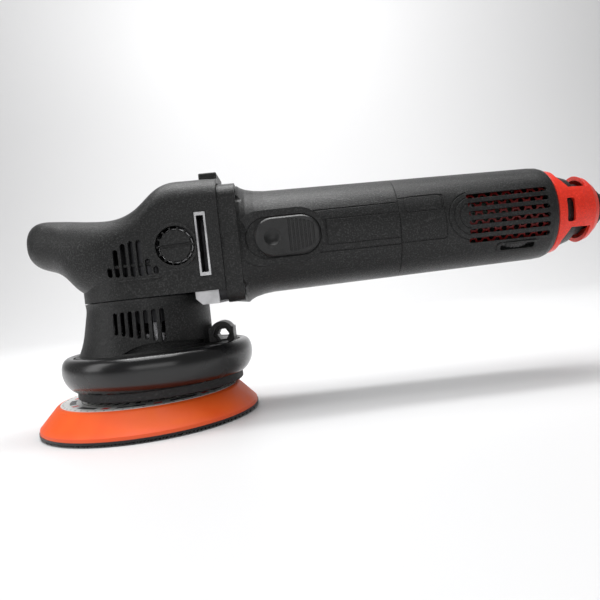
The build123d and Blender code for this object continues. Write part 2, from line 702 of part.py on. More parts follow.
def handle_half(side):
    """One half of the rear handle; the dial opens through the half on the switch side."""
    with BuildPart() as half:
        add(handle_form.part)
        with Locations((190, side * 25, MOTOR_Z)):
            Box(120, 50, 80, mode=Mode.INTERSECT)
        if side < 0:
            with BuildSketch(DIAL_WINDOW.offset(25.3)):
                RectangleRounded(23.5, 6.8, 2.0)
            extrude(amount=2.7)
            with BuildSketch(DIAL_WINDOW.offset(20)):
                RectangleRounded(19.4, 3.8, 1.2)
            extrude(amount=12, mode=Mode.SUBTRACT)
        else:
            with BuildSketch(Plane.XZ.offset(-16)):
                for x, height in HANDLE_BOSSES:
                    with Locations((x, MOTOR_Z + height)):
                        Circle(3.1)
            extrude(amount=-20, mode=Mode.SUBTRACT)
    return half.part


write(handle_half(-1), "rear_housing_left")
write(handle_half(1), "rear_housing_right")

boss_planes = []
for x, height in HANDLE_BOSSES:
    boss_planes.append(Plane(origin=(x, 16, MOTOR_Z + height), x_dir=(1, 0, 0), z_dir=(0, 1, 0)))
write(hex_screws(boss_planes, 2.9, 2.2, 1.6, 26), "handle_screws")

with BuildPart() as intake_screens:
    add(turned_on_motor(((181.5, 23.7), (229.8, 23.7), (229.8, 24.2), (226, 24.5), (181.5, 24.5))))
    with BuildSketch(MOTOR_PLANE.offset(180)):
        for angle in (0, 180):
            with BuildLine():
                Polyline(*[(r * cos(radians(angle + a)), r * sin(radians(angle + a)))
                           for r, a in ((0, 0), (60, -36.5), (60, 33))] if angle == 0 else
                         [(0, 0), (-60 * cos(radians(36.5)), -60 * sin(radians(36.5))),
                          (-60 * cos(radians(33)), 60 * sin(radians(33)))], close=True)
            make_face()
    extrude(amount=60, mode=Mode.INTERSECT)
    with BuildSketch(SIDE_PLANE):
        with Locations((206, 94.5)):
            with HexLocations(2.0, 16, 9):
                RegularPolygon(1.45, 6, major_radius=False)
    extrude(amount=50, both=True, mode=Mode.SUBTRACT)
write(intake_screens.part, "intake_screens")

CAP_OUTSIDE = [(230.4, 24.2), (235.5, 24.2), (236, 24.9), (239, 24.4), (244, 23.2), (252, 21.4), (260, 18.6),
               (264, 15.2), (265, 12.5)]
CAP_INSIDE = [(265, 11.4), (262.6, 13.6), (258.6, 16.6), (251.5, 19.3), (243.6, 21.1), (238, 22.0), (230.4, 22.0)]
CAP_WINDOW = [(239.6, 30.0), (239.6, 18.4), (244.0, 11.4), (257.0, 11.4), (257.0, 30.0)]

with BuildPart() as end_cap:
    add(turned_on_motor(CAP_OUTSIDE + CAP_INSIDE))
    for side in (-1, 1):
        with BuildSketch(SIDE_PLANE):
            with BuildLine():
                Polyline(*[(x, MOTOR_Z + side * height) for x, height in CAP_WINDOW], close=True)
            make_face()
        extrude(amount=50, both=True, mode=Mode.SUBTRACT)
    with BuildSketch(SIDE_PLANE):
        with Locations((243.4, 94)):
            RectangleRounded(5.1, 13.1, 1.2)
    extrude(amount=50, both=True, mode=Mode.SUBTRACT)
write(end_cap.part, "end_cap")

with BuildPart() as end_plug:
    add(turned_on_motor(((232, 0), (232, 22.0), (238, 22.0), (240, 21.7), (244, 20.9), (249, 19.2), (249.4, 15.6),
                         (256, 15.2), (258, 13.4), (262.6, 11.8), (263.4, 11.2), (268, 11.0), (268.8, 10.2),
                         (268.8, 0))))
    add(turned_on_motor(((231, 0), (231, 19.8), (243.5, 18.6), (247.2, 17.0), (247.6, 13.4), (255, 13.0),
                         (257, 11.0), (257, 0))), mode=Mode.SUBTRACT)
    with BuildSketch(MOTOR_PLANE.offset(250)):
        Circle(6.5)
    extrude(amount=40, mode=Mode.SUBTRACT)
write(end_plug.part, "end_plug")
gland_outline = (
    (253, 4.2), (253, 8.5), (257, 8.5), (257, 6.5), (268.8, 6.5), (268.8, 8.6), (272.4, 7.8), (273, 7.0),
    (273, 4.2),
)
write(turned_on_motor(gland_outline), "cord_gland")

# ---------------------------------------------------------------- controls
with BuildPart() as switch_paddle:
    with BuildSketch(SIDE_PLANE.offset(30.4)):
        with Locations((SWITCH_X, SWITCH_Z)):
            SlotOverall(SWITCH_LENGTH, SWITCH_HEIGHT)
    extrude(amount=3.4)
    chamfer(switch_paddle.faces().sort_by(Axis.Y)[0].edges(), 0.9)
    with Locations((SWITCH_X - 8, -39.6, SWITCH_Z)):
        Sphere(7.4, mode=Mode.SUBTRACT)
    with BuildSketch(SIDE_PLANE.offset(32.9)):
        for index in range(7):
            with Locations((SWITCH_X + 1.5 + 2.1 * index, SWITCH_Z)):
                Rectangle(1.0, 17.6 - 0.16 * index * index, mode=Mode.ADD)
    extrude(amount=2, mode=Mode.SUBTRACT)
    with Locations((SWITCH_X + 0.3, -28.1, SWITCH_Z)):
        Box(13.4, 5.0, 7.2)
write(switch_paddle.part, "switch_paddle")

with BuildPart() as switch_link:
    with Locations(((76 + 159) / 2, sum(LINK_Y) / 2, SWITCH_Z)):
        Box(83, LINK_Y[1] - LINK_Y[0], 7.2)
write(switch_link.part, "switch_link")

with BuildPart() as switch_body:
    with Locations((174, -13.4, 96)):
        Box(27, 17, 17)
    with Locations((164, -22.6, 96)):
        Box(5, 2.4, 6)
write(switch_body.part, "switch_body")

with BuildPart() as speed_dial:
    with BuildSketch(DIAL_PLANE.offset(-1.4)):
        Circle(DIAL_RADIUS)
        with PolarLocations(DIAL_RADIUS + 0.35, 36):
            Circle(0.8, mode=Mode.SUBTRACT)
    extrude(amount=2.8)
    with BuildSketch(DIAL_PLANE.offset(-1.4)):
        Circle(2.1)
    extrude(amount=2.8, mode=Mode.SUBTRACT)
write(speed_dial.part, "speed_dial")

with BuildPart() as dial_potentiometer:
    with BuildSketch(DIAL_PLANE.offset(2.5)):
        Circle(7)
    extrude(amount=4)
    with BuildSketch(DIAL_PLANE.offset(-2)):
        Circle(2.05)
    extrude(amount=5)
write(dial_potentiometer.part, "dial_potentiometer")

with BuildPart() as circuit_board:
    with Locations((205, 7, 97)):
        Box(36, 1.6, 30)
    with Locations((198, 9.8, 92)):
        Box(12, 4, 9)
    with Locations((214, 9.3, 102)):
        Box(8, 3, 6)
    with Locations((215, 10.8, 90)):
        Cylinder(4, 6, rotation=(90, 0, 0))
write(circuit_board.part, "circuit_board")

# ---------------------------------------------------------------- motor
with BuildPart() as stator_core:
    with BuildSketch(MOTOR_PLANE.offset(STATOR_X[0])):
        Circle(STATOR_RADIUS)
        Rectangle(2 * STATOR_FLAT_Y, 60, mode=Mode.INTERSECT)
        Circle(21.6, mode=Mode.SUBTRACT)
        for side in (-1, 1):
            with Locations((0, side * 19)):
                Rectangle(13, 9)
            with Locations((0, side * 16.9)):
                Rectangle(26, 1.6)
        Circle(ARMATURE_RADIUS + 0.6, mode=Mode.SUBTRACT)
    extrude(amount=STATOR_X[1] - STATOR_X[0])
write(stator_core.part, "stator_core")

with BuildPart() as field_coils:
    for side in (-1, 1):
        with BuildSketch(MOTOR_PLANE.offset(STATOR_X[0] - 4)):
            for edge in (-1, 1):
                with Locations((edge * 8.2, side * 18.45)):
                    RectangleRounded(2.6, 1.2, 0.3)
        extrude(amount=STATOR_X[1] - STATOR_X[0] + 8)
        for x in (STATOR_X[0] - 4, STATOR_X[1]):
            with BuildSketch(MOTOR_PLANE.offset(x)):
                with Locations((0, side * 19.4)):
                    RectangleRounded(21, 4.4, 1)
            extrude(amount=4)
write(field_coils.part, "field_coils")

armature_outline = (
    (26, 0), (26, 4), (34, 4), (34, 6), (44, 6), (44, 5), (131, 5), (131, 4), (142.4, 4), (142.4, 0),
)
write(turned_on_motor(armature_outline), "armature_shaft")

with BuildPart() as armature_core:
    with BuildSketch(MOTOR_PLANE.offset(STATOR_X[0] + 1)):
        Circle(ARMATURE_RADIUS)
        Circle(5, mode=Mode.SUBTRACT)
        with PolarLocations(ARMATURE_RADIUS - 3, 12):
            SlotOverall(7.2, 3.0, mode=Mode.SUBTRACT)
        with PolarLocations(ARMATURE_RADIUS, 12):
            Rectangle(2.4, 1.2, mode=Mode.SUBTRACT)
    extrude(amount=36)
write(armature_core.part, "armature_core")

with BuildPart() as armature_windings:
    for x, length in ((62.5, 5.5), (104, 9)):
        with BuildSketch(MOTOR_PLANE.offset(x)):
            Circle(13.6)
            Circle(5, mode=Mode.SUBTRACT)
        extrude(amount=length)
    with BuildSketch(MOTOR_PLANE.offset(62.5)):
        with PolarLocations(ARMATURE_RADIUS - 3.1, 12):
            SlotOverall(6.0, 2.6)
        Circle(13.4, mode=Mode.INTERSECT)
    extrude(amount=48)
write(armature_windings.part, "armature_windings")

with BuildPart() as commutator:
    with BuildSketch(MOTOR_PLANE.offset(COMMUTATOR_X[0])):
        Circle(11)
        Circle(5, mode=Mode.SUBTRACT)
        with PolarLocations(11, 24):
            Rectangle(1.4, 0.5, mode=Mode.SUBTRACT)
    extrude(amount=13)
    with BuildSketch(MOTOR_PLANE.offset(COMMUTATOR_X[0] - 3)):
        Circle(12.4)
        Circle(5, mode=Mode.SUBTRACT)
        with PolarLocations(12.4, 24):
            Rectangle(2.4, 0.8, mode=Mode.SUBTRACT)
    extrude(amount=3)
write(commutator.part, "commutator")

with BuildPart() as cooling_fan:
    with BuildSketch(MOTOR_PLANE.offset(FAN_X[1] - 1.6)):
        Circle(26.4)
        Circle(5, mode=Mode.SUBTRACT)
    extrude(amount=1.6)
    with BuildSketch(MOTOR_PLANE.offset(FAN_X[0])):
        Circle(8)
        Circle(5, mode=Mode.SUBTRACT)
        with PolarLocations(16.8, 18):
            Rectangle(18.6, 1.1, rotation=14)
        Circle(5, mode=Mode.SUBTRACT)
        Circle(26.4, mode=Mode.INTERSECT)
    extrude(amount=FAN_X[1] - FAN_X[0] - 1.6)
write(cooling_fan.part, "cooling_fan")

with BuildPart() as brush_holders:
    for side in (-1, 1):
        with Locations((BRUSH_X, side * 18.2, MOTOR_Z)):
            Box(10, 10, 9)
            Box(6.2, 12, 5.2, mode=Mode.SUBTRACT)
write(brush_holders.part, "brush_holders")
with BuildPart() as carbon_brushes:
    for side in (-1, 1):
        with Locations((BRUSH_X, side * 15.3, MOTOR_Z)):
            Box(6.0, 8, 5.0)
write(carbon_brushes.part, "carbon_brushes")
with BuildPart() as brush_springs:
    for side in (-1, 1):
        with Locations((BRUSH_X, side * 21.2, MOTOR_Z)):
            for step in range(4):
                with Locations((0, side * (step * 1.0 - 1.2), 0)):
                    Torus(1.7, 0.42, rotation=(90, 0, 0))
            Cylinder(0.8, 3.4, rotation=(90, 0, 0))
write(brush_springs.part, "brush_springs")

# ---------------------------------------------------------------- gears and crank
pinion_body = (
    (0, root_point(12, 38, 1 - FACE_WIDTH / 24.9)[1]), root_point(12, 38, 1 - FACE_WIDTH / 24.9),
    root_point(12, 38, 1.0), (6.25, 33.6), (4, 33.6), (4, 26), (0, 26),
)
pinion = bevel_gear(PINION_TEETH, WHEEL_TEETH, 0, pinion_body)
with BuildPart() as bevel_pinion:
    add(place(pinion, Plane(origin=(0, 0, MOTOR_Z), x_dir=(0, 0, -1), z_dir=(1, 0, 0))))
write(bevel_pinion.part, "bevel_pinion")

wheel_small = root_point(38, 12, 1 - FACE_WIDTH / 24.9)
wheel_large = root_point(38, 12, 1.0)
wheel_body = (
    (7.5, wheel_small[1]), wheel_small, wheel_large, (wheel_large[0], 11), (17, 14), (12, 14), (12, 19.5),
    (7.5, 19.5),
)
wheel = bevel_gear(WHEEL_TEETH, PINION_TEETH, 180 / WHEEL_TEETH, wheel_body)
with BuildPart() as bevel_wheel:
    add(place(wheel, Plane(origin=(0, 0, MOTOR_Z), x_dir=(1, 0, 0), z_dir=(0, 0, -1))))
write(bevel_wheel.part, "bevel_wheel")

spindle_outline = ((0, 47), (7.5, 47), (7.5, 91.5), (5.5, 93), (5.5, 102), (4, 103.4), (4, 110.2), (0, 110.2))
write(turned(spindle_outline), "main_spindle")

with BuildPart() as crank_block:
    with BuildSketch(Plane.XY.offset(22)):
        with Locations((PAD_AXIS_X, 0)):
            Circle(17)
    extrude(amount=20)
    with BuildSketch(Plane.XY.offset(37.6)):
        Circle(25)
    extrude(amount=12.4)
    with BuildSketch(Plane.XY.offset(50)):
        Circle(10)
    extrude(amount=LOWER_BEARING_Z - 50)
    with BuildSketch(Plane.XY.offset(47)):
        Circle(7.5)
    extrude(amount=20, mode=Mode.SUBTRACT)
    with BuildSketch(Plane.XY.offset(21)):
        with Locations((PAD_AXIS_X, 0)):
            Circle(13)
    extrude(amount=23, mode=Mode.SUBTRACT)
    with BuildSketch(Plane.XY.offset(37)):
        with Locations((19, -8), (19, 8)):
            Circle(2)
    extrude(amount=8, mode=Mode.SUBTRACT)
write(crank_block.part, "crank_block")

with BuildPart() as counterweight:
    with BuildSketch(Plane.XY.offset(26)):
        Circle(40)
        with Locations((30, 0)):
            Rectangle(54, 90, mode=Mode.INTERSECT)
        with Locations((PAD_AXIS_X, 0)):
            Circle(17.1, mode=Mode.SUBTRACT)
        with Locations((19, -8), (19, 8)):
            Circle(2.1, mode=Mode.SUBTRACT)
    extrude(amount=10.6)
    with BuildSketch(Plane.XY.offset(36.6)):
        with Locations((19, -8), (19, 8)):
            Circle(4)
            Circle(2.1, mode=Mode.SUBTRACT)
    extrude(amount=1.0)
write(counterweight.part, "counterweight")
weight_planes = []
for y in (-8, 8):
    weight_planes.append(Plane(origin=(19, y, 26), x_dir=(1, 0, 0), z_dir=(0, 0, -1)))
write(hex_screws(weight_planes, 3.4, 1.6, 2.0, 18.5), "counterweight_screws")

# ---------------------------------------------------------------- pad
pad_outline = (
    (9, HOOK_THICKNESS), (PAD_RADIUS - 0.4, HOOK_THICKNESS), (PAD_RADIUS - 0.6, 4.0), (PAD_TOP_RADIUS + 1.2, 13.9),
    (PAD_TOP_RADIUS, PAD_TOP_Z), (12, PAD_TOP_Z), (12, 11.5), (26, 11.5), (26, 8.5), (9, 8.5),
)
stud_outline = (
    (0, 17), (12, 17), (12, 20), (7, 20), (7, 22.4), (5, 22.4), (5, 43.4), (0, 43.4),
)
hub_outline = ((3, 8.5), (26, 8.5), (26, 11.5), (12, 11.5), (12, 17), (3, 17))


def on_pad_axis(part):
    """A part moved from the spindle axis to the pad's axis."""
    return Location((PAD_AXIS_X, 0, 0)) * part


with BuildPart() as pad_spindle:
    add(on_pad_axis(turned(stud_outline)))
    with BuildSketch(Plane.XY.offset(16)):
        with Locations((PAD_AXIS_X, 0)):
            Circle(3)
    extrude(amount=13, mode=Mode.SUBTRACT)
write(pad_spindle.part, "pad_spindle")
write(on_pad_axis(turned(hub_outline)), "pad_hub")
write(on_pad_axis(turned(pad_outline)), "backing_pad")
write(on_pad_axis(turned(((6.4, 0), (PAD_RADIUS, 0), (PAD_RADIUS - 0.2, HOOK_THICKNESS), (6.4, HOOK_THICKNESS)))),
      "hook_layer")
write(on_pad_axis(turned(((27, PAD_TOP_Z), (50.4, PAD_TOP_Z), (50.4, PAD_TOP_Z + 0.25), (27, PAD_TOP_Z + 0.25)))),
      "pad_label")
write(on_pad_axis(turned(((3, 7.3), (8, 7.3), (8, 8.5), (3, 8.5)))), "pad_washer")
bolt_plane = Plane(origin=(PAD_AXIS_X, 0, 7.3), x_dir=(1, 0, 0), z_dir=(0, 0, -1))
write(hex_screws([bolt_plane], 5.0, 4.6, 3.0, 20.5), "pad_bolt")

# ---------------------------------------------------------------- bearings
FRONT_PLANE = MOTOR_PLANE.offset(FRONT_BEARING_X)
REAR_PLANE = MOTOR_PLANE.offset(REAR_BEARING_X)
LOWER_PLANE = Plane.XY.offset(LOWER_BEARING_Z)
UPPER_PLANE = Plane.XY.offset(UPPER_BEARING_Z)
PAD_PLANES = [Plane(origin=(PAD_AXIS_X, 0, height), x_dir=(1, 0, 0), z_dir=(0, 0, 1))
              for height in PAD_BEARING_Z]
BEARINGS = (
    ("front", BEARING_6201, FRONT_PLANE), ("rear", BEARING_608, REAR_PLANE),
    ("lower", BEARING_6202, LOWER_PLANE), ("upper", BEARING_608, UPPER_PLANE),
)
for name, size, plane in BEARINGS:
    write(bearing_outer(size, plane), f"{name}_bearing_outer")
    write(bearing_inner(size, plane), f"{name}_bearing_inner")
with BuildPart() as ball_sets:
    for name, size, plane in BEARINGS:
        add(bearing_balls(size, plane))
write(ball_sets.part, "ball_sets")

with BuildPart() as pad_bearing_outers:
    for plane in PAD_PLANES:
        add(bearing_outer(BEARING_6000, plane))
write(pad_bearing_outers.part, "pad_bearing_outers")
with BuildPart() as pad_bearing_inners:
    for plane in PAD_PLANES:
        add(bearing_inner(BEARING_6000, plane))
write(pad_bearing_inners.part, "pad_bearing_inners")
with BuildPart() as pad_bearing_balls:
    for plane in PAD_PLANES:
        add(bearing_balls(BEARING_6000, plane))
write(pad_bearing_balls.part, "pad_bearing_balls")
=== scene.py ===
"""Dual action polisher: finishes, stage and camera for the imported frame.

Metres, +X to the rear handle, +Z up.
"""

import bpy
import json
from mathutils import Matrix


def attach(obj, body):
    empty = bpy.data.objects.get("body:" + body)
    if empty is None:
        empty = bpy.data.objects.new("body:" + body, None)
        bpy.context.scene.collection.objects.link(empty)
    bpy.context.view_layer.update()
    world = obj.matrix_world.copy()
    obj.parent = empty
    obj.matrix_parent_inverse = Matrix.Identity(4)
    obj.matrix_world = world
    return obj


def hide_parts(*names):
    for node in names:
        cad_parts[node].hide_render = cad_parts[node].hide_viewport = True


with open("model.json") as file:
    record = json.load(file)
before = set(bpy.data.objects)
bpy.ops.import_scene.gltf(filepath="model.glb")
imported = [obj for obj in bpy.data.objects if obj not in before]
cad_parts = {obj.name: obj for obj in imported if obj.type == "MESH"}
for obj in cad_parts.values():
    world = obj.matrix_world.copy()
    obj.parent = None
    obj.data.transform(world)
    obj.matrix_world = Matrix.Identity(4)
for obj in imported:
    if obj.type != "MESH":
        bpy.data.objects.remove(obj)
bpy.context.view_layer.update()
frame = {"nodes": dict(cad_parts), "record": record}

import json
import math

import bpy
from mathutils import Matrix, Vector

MM = 0.001
PAD_AXIS_X = -7.5 * MM

# ---------------------------------------------------------------- camera
CAMERA_PLACE = Vector((79.27, -322.72, 66.58)) * MM
CAMERA_YAW = 0.022
CAMERA_PITCH = 0.023
CAMERA_ROLL = -0.108
CAMERA_LENS = 32.27
CAMERA_SENSOR = 36
CAMERA_NEAREST = 0.01


def add_camera():
    """The camera, a little below the motor's axis and close to the tool."""
    data = bpy.data.cameras.new("camera")
    data.lens = CAMERA_LENS
    data.sensor_width = CAMERA_SENSOR
    data.clip_start = CAMERA_NEAREST
    camera = bpy.data.objects.new("camera", data)
    bpy.context.scene.collection.objects.link(camera)
    right = Vector((math.cos(CAMERA_YAW), -math.sin(CAMERA_YAW), 0))
    level = math.cos(CAMERA_PITCH)
    forward = Vector((math.sin(CAMERA_YAW) * level, math.cos(CAMERA_YAW) * level,
                      -math.sin(CAMERA_PITCH)))
    above = right.cross(forward)
    tilted_right = math.cos(CAMERA_ROLL) * right + math.sin(CAMERA_ROLL) * above
    tilted_above = math.cos(CAMERA_ROLL) * above - math.sin(CAMERA_ROLL) * right
    rows = zip(tilted_right, tilted_above, -forward)
    turned = Matrix([list(row) for row in rows]).to_4x4()
    camera.matrix_world = Matrix.Translation(CAMERA_PLACE) @ turned
    bpy.context.scene.camera = camera


add_camera()


# ---------------------------------------------------------------- materials
# A mix node's colour sockets share their names with its other types, so they go by number
MIX_A, MIX_B, MIX_RESULT = 6, 7, 2
PLASTIC_SPECULAR = 0.34
PAINTED_GLINT = 0.022  # painted highlight: added to each channel on the tops of the grain
PAINTED_GLINT_LIFT = 1.4  # painted highlight: how much paler the tops are before that
# The pad's rim is paler between these heights
RIM_HEIGHTS = (2.2 * MM, 6.5 * MM)
# The gearbox casting is in the open beyond these depths, or behind and below the covers' edge;
# elsewhere its colour is a painted shade
OPEN_ASIDE = (30.7 * MM, 31.0 * MM)
OPEN_BEHIND = (29.0 * MM, 29.8 * MM)
OPEN_BELOW = (70.8 * MM, 71.4 * MM)
# Turning marks: noise scale along the marks and across them
MARKS_ALONG = 260
MARKS_ACROSS = 7000


class Finish:
    """A material's node tree, with short calls for the patterns that the finishes share."""

    def __init__(self, name):
        self.material = bpy.data.materials.new(name)
        self.material.use_nodes = True
        self.nodes = self.material.node_tree.nodes
        self.links = self.material.node_tree.links
        self.shader = self.nodes["Principled BSDF"]
        self.place = self.nodes.new("ShaderNodeTexCoord").outputs["Object"]
        self.normal = None

    def stretched(self, scale):
        """Object coordinates stretched by a scale on each axis."""
        mapping = self.nodes.new("ShaderNodeMapping")
        mapping.inputs["Scale"].default_value = scale
        self.links.new(self.place, mapping.inputs["Vector"])
        return mapping.outputs["Vector"]

    def noise(self, scale, detail, roughness, place=None):
        """Cloudy noise, 0 to 1."""
        node = self.nodes.new("ShaderNodeTexNoise")
        node.inputs["Scale"].default_value = scale
        node.inputs["Detail"].default_value = detail
        node.inputs["Roughness"].default_value = roughness
        self.links.new(place or self.place, node.inputs["Vector"])
        return node.outputs["Fac"]

    def cells(self, scale, feature):
        """A distance in a cell pattern: to a cell's point or to its edge."""
        node = self.nodes.new("ShaderNodeTexVoronoi")
        node.feature = feature
        node.inputs["Scale"].default_value = scale
        self.links.new(self.place, node.inputs["Vector"])
        return node.outputs["Distance"]

    def span(self, value, low, high, out_low, out_high):
        """A value mapped from one range to another, clamped."""
        node = self.nodes.new("ShaderNodeMapRange")
        node.inputs["From Min"].default_value = low
        node.inputs["From Max"].default_value = high
        node.inputs["To Min"].default_value = out_low
        node.inputs["To Max"].default_value = out_high
        self.links.new(value, node.inputs["Value"])
        return node.outputs["Result"]

    def blend(self, share, first, second):
        """Two colours or sockets mixed by a share, in the mix node's colour sockets."""
        node = self.nodes.new("ShaderNodeMix")
        node.data_type = "RGBA"
        self.links.new(share, node.inputs["Factor"])
        for value, socket in ((first, node.inputs[MIX_A]), (second, node.inputs[MIX_B])):
            if isinstance(value, (tuple, list)):
                socket.default_value = (*value, 1)
            else:
                self.links.new(value, socket)
        return node.outputs[MIX_RESULT]

    def math(self, operation, first, second):
        """One arithmetic step on two values or sockets."""
        node = self.nodes.new("ShaderNodeMath")
        node.operation = operation
        for value, socket in ((first, node.inputs[0]), (second, node.inputs[1])):
            if isinstance(value, (int, float)):
                socket.default_value = value
            else:
                self.links.new(value, socket)
        return node.outputs[0]

    def soft_edges(self, radius):
        """Rounds the look of moulded edges."""
        node = self.nodes.new("ShaderNodeBevel")
        node.samples = 4
        node.inputs["Radius"].default_value = radius
        self.normal = node.outputs["Normal"]

    def bump(self, height, depth, strength):
        """Adds a bump on top of those made before."""
        node = self.nodes.new("ShaderNodeBump")
        node.inputs["Strength"].default_value = strength
        node.inputs["Distance"].default_value = depth
        self.links.new(height, node.inputs["Height"])
        if self.normal is not None:
            self.links.new(self.normal, node.inputs["Normal"])
        self.normal = node.outputs["Normal"]

    def axes(self):
        """Object coordinates as three separate values."""
        node = self.nodes.new("ShaderNodeSeparateXYZ")
        self.links.new(self.place, node.inputs[0])
        return node.outputs

    def done(self, colour, roughness, **constants):
        """Joins the colour, roughness and normal to the shader and sets its constants."""
        for value, socket in ((colour, "Base Color"), (roughness, "Roughness")):
            if isinstance(value, (tuple, list)):
                self.shader.inputs[socket].default_value = (*value, 1)
            elif isinstance(value, (int, float)):
                self.shader.inputs[socket].default_value = value
            else:
                self.links.new(value, self.shader.inputs[socket])
        if self.normal is not None:
            self.links.new(self.normal, self.shader.inputs["Normal"])
        for socket, value in constants.items():
            self.shader.inputs[socket.replace("_", " ")].default_value = value
        return self.material


def moulded_plastic(name, colour, lighter, grain=0.6 * MM, depth=0.05 * MM, rough=(0.38, 0.52),
                    edge=0.35 * MM):
    """Injection moulded shell with a spark-eroded grain, glossier grain tops with a painted
    highlight in their colour, and soft edges.
    """
    finish = Finish(name)
    finish.soft_edges(edge)
    pebbles = finish.noise(1 / grain, 2, 0.5)
    finish.bump(pebbles, depth * 4, 1.0)
    finish.bump(finish.noise(2.3 / grain, 2, 0.6), depth, 0.6)
    handled = finish.noise(22, 3, 0.6)
    rubbed = finish.span(handled, 0.35, 0.68, rough[0], rough[1])
    painted_glint_tops = finish.span(finish.noise(0.75 / grain, 2, 0.6), 0.5, 0.66, 0.0, 1.0)
    tone = finish.blend(finish.span(handled, 0.3, 0.7, 0, 1), colour, lighter)
    # Painted highlight: the grain tops are paler, a glint painted into the colour
    tone = finish.blend(painted_glint_tops, tone, [PAINTED_GLINT_LIFT * channel + PAINTED_GLINT for channel in lighter])
    polished = finish.math("SUBTRACT", rubbed, finish.math("MULTIPLY", painted_glint_tops, 0.08))
    return finish.done(tone, polished, Specular_IOR_Level=PLASTIC_SPECULAR)


def soft_rubber(name, colour, lighter, rough=(0.24, 0.36), coat=0.0):
    """Moulded rubber with faint flow marks and dust."""
    finish = Finish(name)
    finish.bump(finish.noise(700, 3, 0.6), 0.02 * MM, 0.5)
    finish.bump(finish.noise(60, 2, 0.5), 0.15 * MM, 0.25)
    dust = finish.span(finish.noise(1500, 2, 0.7), 0.66, 0.8, 0, 1)
    tone = finish.blend(dust, colour, lighter)
    rubbed = finish.span(finish.noise(35, 3, 0.6), 0.35, 0.7, rough[0], rough[1])
    return finish.done(tone, rubbed, Specular_IOR_Level=0.5, Coat_Weight=coat, Coat_Roughness=0.2)


def foam_rubber(name):
    """Dense orange polyurethane, paler at the thin rim, with closed-cell pits."""
    finish = Finish(name)
    pits = finish.cells(1700, "SMOOTH_F1")
    finish.bump(pits, 0.05 * MM, 0.5)
    finish.bump(finish.noise(240, 4, 0.6), 0.10 * MM, 0.4)
    cloud = finish.noise(45, 4, 0.6)
    tone = finish.blend(finish.span(cloud, 0.3, 0.7, 0, 1), (0.93, 0.095, 0.006),
                        (0.97, 0.135, 0.012))
    rim = finish.span(finish.axes()["Z"], *RIM_HEIGHTS, 1.0, 0.0)
    tone = finish.blend(finish.math("MULTIPLY", rim, 0.5), tone, (0.95, 0.12, 0.06))
    rubbed = finish.span(finish.noise(90, 3, 0.6), 0.3, 0.7, 0.42, 0.6)
    return finish.done(tone, rubbed, Specular_IOR_Level=0.4, Subsurface_Weight=0.06,
                       Subsurface_Radius=(0.004, 0.0015, 0.0008), Subsurface_Scale=1.0)


def cast_metal(name, colour, darker, rough, metallic, grain=0.5 * MM, painted_shade_colour=None):
    """Cast or blasted metal with a sandy skin, optionally with a painted shade, a dark colour,
    where the covers enclose it.
    """
    finish = Finish(name)
    finish.soft_edges(0.3 * MM)
    finish.bump(finish.noise(1 / grain, 5, 0.65), 0.06 * MM, 0.6)
    stain = finish.noise(40, 4, 0.65)
    tone = finish.blend(finish.span(stain, 0.35, 0.65, 0, 1), colour, darker)
    if painted_shade_colour is not None:
        place = finish.axes()
        aside = finish.math("ABSOLUTE", place["Y"], 0.0)
        behind = finish.span(place["X"], *OPEN_BEHIND, 0, 1)
        low = finish.math("MULTIPLY", behind, finish.span(place["Z"], *OPEN_BELOW, 1, 0))
        clear_of_painted_shade = finish.math("MAXIMUM", finish.span(aside, *OPEN_ASIDE, 0, 1), low)
        # Painted shade: the casting takes the dark colour where the covers enclose it
        tone = finish.blend(clear_of_painted_shade, painted_shade_colour, tone)
    rubbed = finish.span(finish.noise(160, 3, 0.6), 0.3, 0.7, rough[0], rough[1])
    return finish.done(tone, rubbed, Metallic=metallic)


def turned_steel(name, colour, darker, axis, rough=(0.18, 0.34)):
    """Machined steel with fine marks running round an axis."""
    finish = Finish(name)
    finish.soft_edges(0.2 * MM)
    stretch = [MARKS_ALONG] * 3
    stretch["XYZ".index(axis)] = MARKS_ACROSS
    marks = finish.noise(1.0, 2, 0.5, finish.stretched(stretch))
    finish.bump(marks, 0.008 * MM, 0.5)
    stain = finish.noise(70, 3, 0.6)
    tone = finish.blend(finish.span(stain, 0.35, 0.7, 0, 1), colour, darker)
    rubbed = finish.span(marks, 0.3, 0.7, rough[0], rough[1])
    return finish.done(tone, rubbed, Metallic=1.0)


def wound_copper(name):
    """Varnished copper wire laid side by side along the motor."""
    finish = Finish(name)
    wave = finish.nodes.new("ShaderNodeTexWave")
    wave.bands_direction = "X"
    wave.inputs["Scale"].default_value = 420
    wave.inputs["Distortion"].default_value = 1.2
    finish.links.new(finish.place, wave.inputs["Vector"])
    finish.bump(wave.outputs["Fac"], 0.25 * MM, 0.9)
    tone = finish.blend(wave.outputs["Fac"], (0.30, 0.09, 0.03), (0.78, 0.30, 0.13))
    rubbed = finish.span(finish.noise(300, 2, 0.5), 0.3, 0.7, 0.25, 0.42)
    return finish.done(tone, rubbed, Metallic=0.85, Coat_Weight=0.4, Coat_Roughness=0.15)


def hook_pile(name):
    """Woven backing of the hook layer."""
    finish = Finish(name)
    weave = finish.cells(1500, "F1")
    finish.bump(weave, 0.15 * MM, 0.9)
    lint = finish.span(finish.noise(500, 3, 0.7), 0.6, 0.8, 0, 1)
    tone = finish.blend(lint, (0.010, 0.010, 0.011), (0.05, 0.05, 0.052))
    rubbed = finish.span(weave, 0.0, 0.7, 0.55, 0.9)
    return finish.done(tone, rubbed, Sheen_Weight=0.2, Sheen_Roughness=0.5)


def printed_film(name, colour, darker):
    """Satin printed film with light scuffs."""
    finish = Finish(name)
    finish.bump(finish.noise(900, 2, 0.5), 0.01 * MM, 0.4)
    streaks = finish.noise(1.0, 4, 0.7, finish.stretched((600, 90, 200)))
    tone = finish.blend(finish.span(streaks, 0.6, 0.75, 0, 1), colour, darker)
    rubbed = finish.span(finish.noise(120, 3, 0.6), 0.3, 0.7, 0.28, 0.45)
    return finish.done(tone, rubbed, Coat_Weight=0.2)


